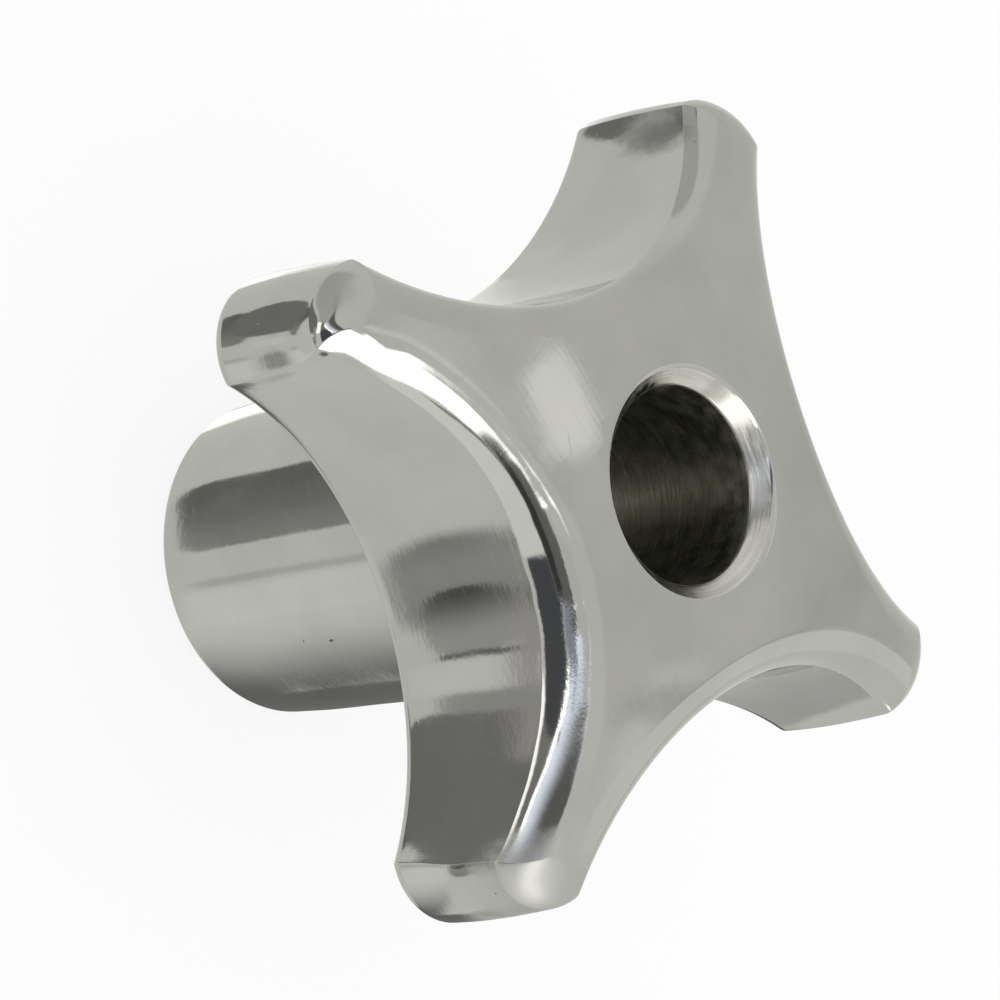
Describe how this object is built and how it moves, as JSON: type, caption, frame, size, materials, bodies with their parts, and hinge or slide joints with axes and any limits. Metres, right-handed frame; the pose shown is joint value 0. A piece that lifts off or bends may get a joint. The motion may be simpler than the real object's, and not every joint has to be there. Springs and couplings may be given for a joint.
{
  "type": "star knob",
  "caption": "Clamping knob with hollow finger flanks between its long arms, a softly domed front and a long round hub with a plain through bore.",
  "frame": {"origin": "centre of the hub's end face, on the bore's axis", "axes": "+Z along the bore from the hub's end to the domed front, arms along X and Y"},
  "size_m": [0.063, 0.063, 0.0429],
  "materials": {
    "polished_steel": "hand polished stainless steel with fine polishing lines and a turned bore"
  },
  "bodies": {
    "root": {"star_knob": "polished_steel"}
  },
  "joints": []
}
